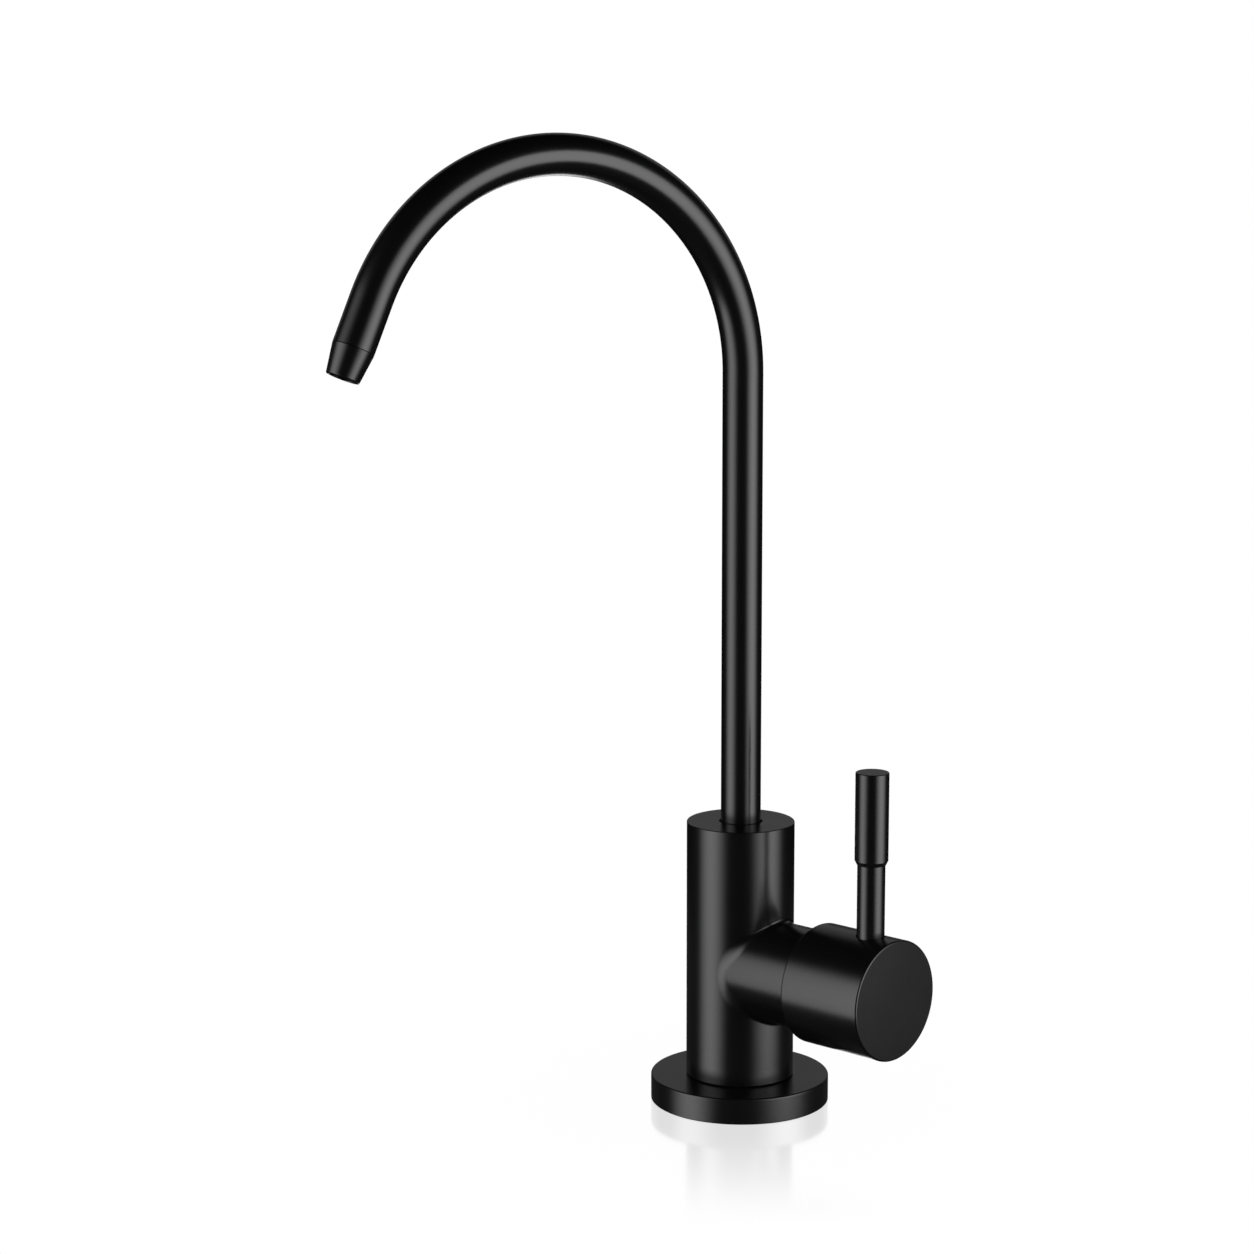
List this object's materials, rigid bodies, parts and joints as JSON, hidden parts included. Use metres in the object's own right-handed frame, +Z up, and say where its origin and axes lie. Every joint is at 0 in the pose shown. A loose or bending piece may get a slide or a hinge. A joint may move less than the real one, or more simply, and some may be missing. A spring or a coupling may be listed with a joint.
{
  "type": "drinking water filter tap",
  "caption": "Deck-mounted drinking water filter tap with a slim swivelling gooseneck spout, a round post and flange, and a side valve with a pin lever.",
  "frame": {"origin": "on the post's axis in the plane of the deck, where the underside of the base gasket and flange rests", "axes": "+Z up along the post, +X along the valve's axis towards the handle hub, -Y towards the user; the spout at rest points to -Y, turned 13.7 degrees towards -X as in the picture"},
  "size_m": [0.0967, 0.1595, 0.3515],
  "materials": {
    "satin_black": "satin black powder coat",
    "bare_brass": "turned",
    "bright_steel": "zinc plated or stainless, satin",
    "black_rubber": "matte",
    "black_plastic": "matte",
    "ceramic": null
  },
  "bodies": {
    "post": {"tap_body": "satin_black", "base_flange": "satin_black", "base_gasket": "black_rubber", "threaded_shank": "bright_steel", "deck_washer": "black_rubber", "spacer_washer": "black_plastic", "lock_washer": "bright_steel", "mounting_nut": "bare_brass", "spout_clip": "bright_steel", "valve_housing": "bare_brass", "housing_o_ring": "black_rubber", "seat_seal": "black_rubber", "fixed_disc": "ceramic", "glide_ring": "black_plastic"},
    "spout": {"spout_tube": "satin_black", "spout_tip": "satin_black", "flow_straightener": "black_plastic", "spout_foot": "bare_brass", "spout_o_rings": "black_rubber", "spout_guide_bush": "black_plastic"},
    "handle": {"handle_hub": "satin_black", "hub_grub_screw": "bright_steel", "lever_rod": "satin_black", "lever_grip": "satin_black", "valve_spindle": "bare_brass", "stem_o_rings": "black_rubber", "spindle_clip": "bright_steel", "moving_disc": "ceramic"}
  },
  "joints": [
    {"name": "spout_swivel", "type": "hinge", "parent": "post", "child": "spout", "pos_m": [0, 0, 0.07], "axis": [0, 0, 1], "continuous": true},
    {"name": "handle_turn", "type": "hinge", "parent": "post", "child": "handle", "pos_m": [0.035, 0, 0.0424], "axis": [1, 0, 0], "range_deg": [0, 90]}
  ]
}
